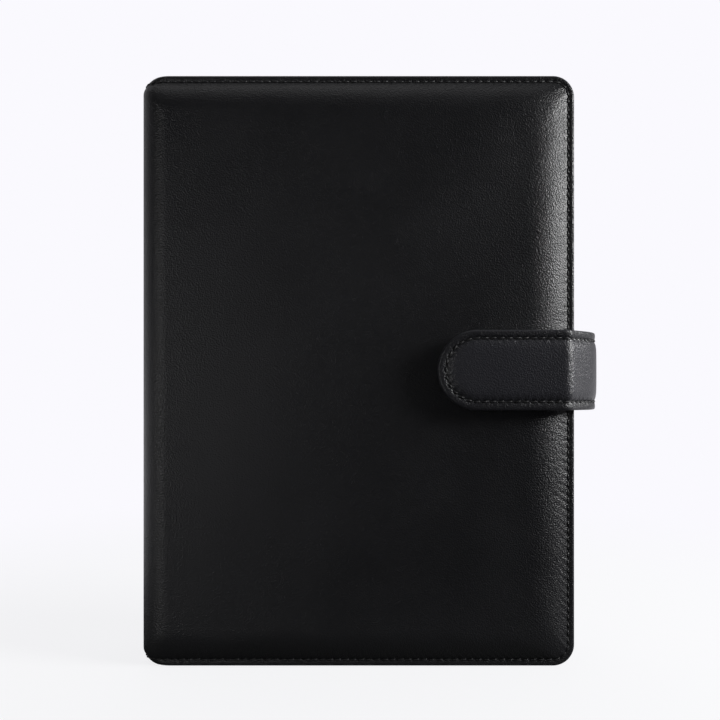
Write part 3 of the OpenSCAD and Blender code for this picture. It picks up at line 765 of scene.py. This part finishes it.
stiffener = [(5, 0.85, 0), (4.5, 0.95, 0), (4.4, 1.5, 0), (4.5, 2.05, 0), (5, 2.15, 0)]
lining_strip = [(2.1, 0.8, 0), (1.7, 0.7, 0), (1.6, 0.35, 0), (1.7, 0.1, 0), (2.0, 0, 0), (2.9, 0.02, 0),
                (3.3, 0.14, 0), (3.7, 0.02, 0), (4.4, 0, 0)]
strap_stands_for = {-1: ("strap_flap_leather", "strap_front_bend"),
                    1: ("strap_root_leather", "strap_back_bend", "strap_side_leather")}
for sign, part in ((-1, "flap"), (1, "root")):
    strap = quilt("strap_" + part + "_padded", strap_loops(sign, strap_edge, 3.85), along_strap(sign),
                  strap_counts[sign], outer_leather, strap_relief(sign))
    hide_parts(*strap_stands_for[sign])
    bend_with_strap(strap, sign)
    under = quilt("strap_" + part + "_under_lining", strap_loops(sign, lining_strip, 0),
                  along_strap(sign), strap_counts[sign], lining_cloth)
    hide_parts("strap_flap_lining" if sign < 0 else "strap_side_lining")
    bend_with_strap(under, sign)
    core = quilt("strap_" + part + "_stiffener", strap_loops(sign, stiffener, 2.15), along_strap(sign),
                 strap_counts[sign], grey_board)
    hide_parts("strap_flap_core" if sign < 0 else "strap_side_core")
    bend_with_strap(core, sign)
    us, vs = strap_seam_row(sign)
    row = sew("strap_" + part + "_seam", [(us, vs, 2.98, along_strap(sign))], hole_gap)
    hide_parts("strap_" + part + "_stitching")
    bend_with_strap(row, sign)

# ---- Magnetic snap ----
# Two stamped brass halves with a gunmetal plate: a socket on the front cover with a ring magnet in it,
# and a stud under the flap. Prongs through the leather are bent over thin steel backplates.
socket_lo, socket_hi = (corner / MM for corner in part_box("snap_socket"))
stud_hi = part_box("snap_stud")[1] / MM
snap_x = (socket_lo.x + socket_hi.x) / 2
snap_r = (socket_hi.x - socket_lo.x) / 2

# Gunmetal plate is a dark mirror with a light haze from handling.
gunmetal = bpy.data.materials.new("gunmetal plated brass")
gunmetal.use_nodes = True
tree = gunmetal.node_tree
look = tree.nodes["Principled BSDF"]
look.inputs["Metallic"].default_value = 1.0
where = add_node(tree, "TexCoord")
haze = add_node(tree, "TexNoise", None, {"Scale": 1 / (2 * MM), "Detail": 4.0},
                {"Vector": where.outputs["Object"]})
colour = add_node(tree, "MixRGB", None, {1: linear("#55565a"), 2: linear("#6c6d72")},
                  {0: haze.outputs[0]})
tree.links.new(colour.outputs[0], look.inputs["Base Color"])
rough = add_node(tree, "MapRange", None, {"To Min": 0.22, "To Max": 0.36},
                 {"Value": haze.outputs[0]})
tree.links.new(rough.outputs[0], look.inputs["Roughness"])


def turned(name, profile, centre, out, material):
    """A round piece from (radius, height) points; out is the way its top faces. Radius 0 closes it."""
    angles = np.linspace(0, 2 * math.pi, 65)[:-1]
    n = len(angles)
    out = np.array(out, float)
    side = np.stack([np.cos(angles)] * 3, 1) * np.array([out[1], -out[0], 0])
    side[:, 2] += np.sin(angles)
    rings = [np.array(centre) + r * side + h * out for r, h in profile]
    last = len(rings) if profile[0][0] else len(rings) - 1
    faces = [(a * n + i, a * n + (i + 1) % n, (a + 1) % len(rings) * n + (i + 1) % n,
              (a + 1) % len(rings) * n + i) for a in range(last) for i in range(n)]
    return add_piece(name, np.concatenate(rings), faces, material)


socket_y = leather_lo.y
socket_top = socket_y - socket_lo.y
socket = turned("snap_socket_turned", [
    (3.2, -0.3), (3.2, socket_top - 0.4), (3.3, socket_top - 0.12), (3.6, socket_top), (4.1, socket_top),
    (4.5, socket_top - 0.15), (6.9, socket_top - 0.15), (7.3, socket_top), (8.0, socket_top - 0.02),
    (8.6, socket_top - 0.25), (8.92, socket_top - 0.7), (snap_r, 0.8), (snap_r, -0.3)],
    (snap_x, socket_y, strap_z), (0, -1, 0), gunmetal)
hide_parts("snap_socket")
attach(socket, "front_cover")
flap_lining_t = 0.8
stud_y = flap_hi.y + flap_lining_t
stud_top = stud_hi.y - stud_y
stud = turned("snap_stud_turned", [
    (0, stud_top), (2.1, stud_top), (2.6, stud_top - 0.1), (2.9, stud_top - 0.4),
    (3.0, stud_top - 0.8), (3.0, 1.15), (3.15, 1.0), (3.5, 0.94), (7.6, 0.94), (8.4, 0.86),
    (8.85, 0.6), (snap_r, 0.25), (snap_r, -0.3), (0, -0.3)], (snap_x, stud_y, strap_z), (0, 1, 0),
    gunmetal)
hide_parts("snap_stud")
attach(stud, "strap_flap")

# Sintered ferrite is a matt, fine-grained dark grey.
ferrite = bpy.data.materials.new("sintered ferrite")
ferrite.use_nodes = True
tree = ferrite.node_tree
look = tree.nodes["Principled BSDF"]
look.inputs["Roughness"].default_value = 0.7
where = add_node(tree, "TexCoord")
grit = add_node(tree, "TexNoise", None, {"Scale": 1 / (0.3 * MM), "Detail": 5.0},
                {"Vector": where.outputs["Object"]})
colour = add_node(tree, "MixRGB", None, {1: linear("#232326"), 2: linear("#3c3c40")},
                  {0: grit.outputs[0]})
tree.links.new(colour.outputs[0], look.inputs["Base Color"])
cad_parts["snap_magnet"].data.materials.clear()
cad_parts["snap_magnet"].data.materials.append(ferrite)

# ---- Pockets ----
# Skived pocket leather, 0.8 mm thick, with its top edge hemmed. Three card slots overlap on a slip
# pocket inside the front cover, and one tall pocket inside the back cover holds the pad's board.
# It is smoother than the cover, with fine pores and an even satin.
pocket_leather = bpy.data.materials.new("black smooth pocket leather")
pocket_leather.use_nodes = True
tree = pocket_leather.node_tree
look = tree.nodes["Principled BSDF"]
look.inputs["IOR"].default_value = 1.5
where = add_node(tree, "TexCoord")
cloud = add_node(tree, "TexNoise", None, {"Scale": 1 / (22 * MM), "Detail": 4.0},
                 {"Vector": where.outputs["Object"]})
colour = add_node(tree, "MixRGB", None, {1: linear("#1a1a1d"), 2: linear("#212125")},
                  {0: cloud.outputs[0]})
tree.links.new(colour.outputs[0], look.inputs["Base Color"])
pores = add_node(tree, "TexVoronoi", {"feature": "SMOOTH_F1"},
                 {"Scale": 1 / (0.55 * MM), "Smoothness": 0.5}, {"Vector": where.outputs["Object"]})
bump = add_node(tree, "Bump", None, {"Strength": 0.3, "Distance": 0.05 * MM},
                {"Height": pores.outputs["Distance"]})
tree.links.new(bump.outputs[0], look.inputs["Normal"])
rough = add_node(tree, "MapRange", None,
                 {"From Min": 0.3, "From Max": 0.7, "To Min": 0.46, "To Max": 0.52},
                 {"Value": cloud.outputs[0]})
tree.links.new(rough.outputs[0], look.inputs["Roughness"])

# Points across a pocket's edge: the inset, and the depth below its face. The seam presses it down.
pocket_t = 0.8
pocket_seam = 1.5
pocket_edge = [(0.5, pocket_t), (0.12, 0.66), (0, 0.4), (0.12, 0.12), (0.5, 0), (1.2, 0), (1.5, -0.1),
               (1.8, 0), (3, 0)]


def pocket_piece(name, body, sign):
    """A hemmed pocket with the box of its CAD node, pressed down where it is sewn."""
    lo, hi = (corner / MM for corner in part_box(name))
    face_d = abs((hi.y if sign < 0 else lo.y) - mid_y)
    base_d = abs((lo.y if sign < 0 else hi.y) - mid_y)
    stand_off = base_d - face_d - pocket_t
    reach = (hi.z - lo.z) / 2
    # The faces close on a line in the middle, upright in a tall pocket and level in a wide one.
    if reach * 1.8 > hi.x - lo.x:
        line = ((lo.x + hi.x) / 2, (lo.x + hi.x) / 2, lo.z + 40, hi.z - 40)
    else:
        line = (lo.x + reach * 0.9, hi.x - reach * 0.9, lo.z + reach, lo.z + reach)
    loops = [(*line, 0, face_d + pocket_t, 0)]
    for inset, lower in pocket_edge:
        loops.append((lo.x + inset, hi.x - inset, lo.z + inset, hi.z - inset, max(2.5 - inset, 0.3),
                      face_d + lower, 0))
    loops.append((*line, 0, face_d, 0))

    def press(n, xs, zs):
        near = np.minimum(np.minimum(xs - lo.x, hi.x - xs), zs - lo.z)
        return stand_off * ease(1 - near / 4) + 0.05 * np.sin(xs / 11) * ease(near / 10)

    made = quilt(name + "_leather", loops, flat(sign), (60, 4, 60), pocket_leather, press, closed=True)
    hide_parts(name)
    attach(made, body)
    down = np.linspace(hi.z - pocket_seam, lo.z + pocket_seam, 40)
    over = np.linspace(lo.x + pocket_seam, hi.x - pocket_seam, 40)
    thread_at = face_d + stand_off - 0.02
    row = sew(name + "_seam", [(lo.x + pocket_seam, down, thread_at, flat(sign)),
                               (over, lo.z + pocket_seam, thread_at, flat(sign)),
                               (hi.x - pocket_seam, down[::-1], thread_at, flat(sign))],
              hole_gap, facing=-1)
    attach(row, body)


for name in ("front_slip_pocket", "card_slot_upper", "card_slot_middle", "card_slot_lower"):
    pocket_piece(name, "front_cover", -1)
pocket_piece("back_pocket", "back_cover", 1)

# ---- Pen loop ----
# A band of the pocket leather bent round to a loop and sewn to the lining near the fore edge.
# Its two cut edges are rounded and burnished.
loop_wall = 1
loop_lo, loop_hi = (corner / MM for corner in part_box("pen_loop"))
loop_x = (loop_lo.x + loop_hi.x) / 2
loop_out = (loop_hi.x - loop_lo.x) / 2
loop_in = loop_out - loop_wall
loop_y = loop_lo.y + loop_out
tab_top = loop_hi.y - loop_y

# The outer radius at each angle from the sewn side: a flat tab there, round the rest of the way.
turns = np.linspace(0, 2 * math.pi, 97)[:-1]
from_top = np.abs((turns + math.pi) % (2 * math.pi) - math.pi)
tab_turn = math.radians(44)
tab_reach = tab_top / math.cos(tab_turn)
outer_r = np.where(from_top < tab_turn, tab_top / np.cos(np.minimum(from_top, tab_turn)),
                   tab_reach + (loop_out - tab_reach) * ease((from_top - tab_turn) / math.radians(22)))

# Points round the band's section: how far through its thickness, and the height.
band = [(0, z) for z in np.linspace(loop_lo.z + 0.35, loop_hi.z - 0.35, 12)]
band += [(0.12, loop_hi.z - 0.08), (0.5, loop_hi.z), (0.88, loop_hi.z - 0.08)]
band += [(1, z) for z in np.linspace(loop_hi.z - 0.35, loop_lo.z + 0.35, 12)]
band += [(0.88, loop_lo.z + 0.08), (0.5, loop_lo.z), (0.12, loop_lo.z + 0.08)]
rings = []
for out_share, z in band:
    r = loop_in + (outer_r - loop_in) * out_share
    rings.append(np.stack([loop_x + r * np.sin(turns), loop_y + r * np.cos(turns),
                           np.full(len(turns), z)], 1))
n = len(turns)
faces = [(a * n + i, a * n + (i + 1) % n, (a + 1) % len(band) * n + (i + 1) % n,
          (a + 1) % len(band) * n + i) for a in range(len(band)) for i in range(n)]
loop = add_piece("pen_loop_leather", np.concatenate(rings), faces, pocket_leather)
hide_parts("pen_loop")
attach(loop, "back_cover")

# ---- Ring mechanism ----
# A standard six-ring mechanism: a rolled steel cover plate over two spring blades, half rings of
# 2.5 mm wire riveted to the blades, and a lever at each end, all nickel plated. Two domed caps cover
# its rivets on the outside of the spine.


def plated(name, darker, lighter, low, high, streak):
    """Nickel plate: warm white reflections, drawn out along the part by rolling marks."""
    made = bpy.data.materials.new(name)
    made.use_nodes = True
    tree = made.node_tree
    look = tree.nodes["Principled BSDF"]
    look.inputs["Metallic"].default_value = 1.0
    where = add_node(tree, "TexCoord")
    drawn = add_node(tree, "Mapping", None, {"Scale": (1, 1, 0.04)},
                     {"Vector": where.outputs["Object"]})
    marks = add_node(tree, "TexNoise", None, {"Scale": 1 / (streak * MM), "Detail": 3.0},
                     {"Vector": drawn.outputs[0]})
    colour = add_node(tree, "MixRGB", None, {1: linear(darker), 2: linear(lighter)},
                      {0: marks.outputs[0]})
    tree.links.new(colour.outputs[0], look.inputs["Base Color"])
    rough = add_node(tree, "MapRange", None,
                     {"From Min": 0.3, "From Max": 0.7, "To Min": low, "To Max": high},
                     {"Value": marks.outputs[0]})
    tree.links.new(rough.outputs[0], look.inputs["Roughness"])
    bump = add_node(tree, "Bump", None, {"Strength": 0.15, "Distance": 0.02 * MM},
                    {"Height": marks.outputs[0]})
    tree.links.new(bump.outputs[0], look.inputs["Normal"])
    return made


bright_nickel = plated("bright nickel plated wire", "#c9c8c4", "#dddcd8", 0.1, 0.2, 0.6)
satin_nickel = plated("satin nickel plated steel", "#b4b3af", "#cbcac6", 0.24, 0.38, 0.5)

cap_lo, cap_hi = (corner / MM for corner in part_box("rivet_caps"))
cap_r = (cap_hi.y - cap_lo.y) / 2
for part, cap_z in (("lower", cap_lo.z + cap_r), ("upper", cap_hi.z - cap_r)):
    cap = turned("spine_rivet_cap_" + part, [
        (0, 0.75), (1.2, 0.7), (2.3, 0.55), (3.2, 0.3), (3.75, 0.05), (cap_r, -0.25), (cap_r, -0.7),
        (0, -0.7)], (cap_lo.x, mid_y, cap_z), (-1, 0, 0), satin_nickel)
    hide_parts("rivet_caps")
    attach(cap, "spine")

for name in ("front_half_rings", "back_half_rings"):
    finish_node(name, bright_nickel, 0.12)
for name, bevel in (("ring_cover_plate", 0.15), ("top_lever", 0.2), ("bottom_lever", 0.2),
                    ("ring_rivets", 0.25), ("lever_pins", 0.1), ("front_blade", 0.1),
                    ("back_blade", 0.1), ("socket_backplate", 0.05), ("stud_backplate", 0.05)):
    finish_node(name, satin_nickel, bevel)
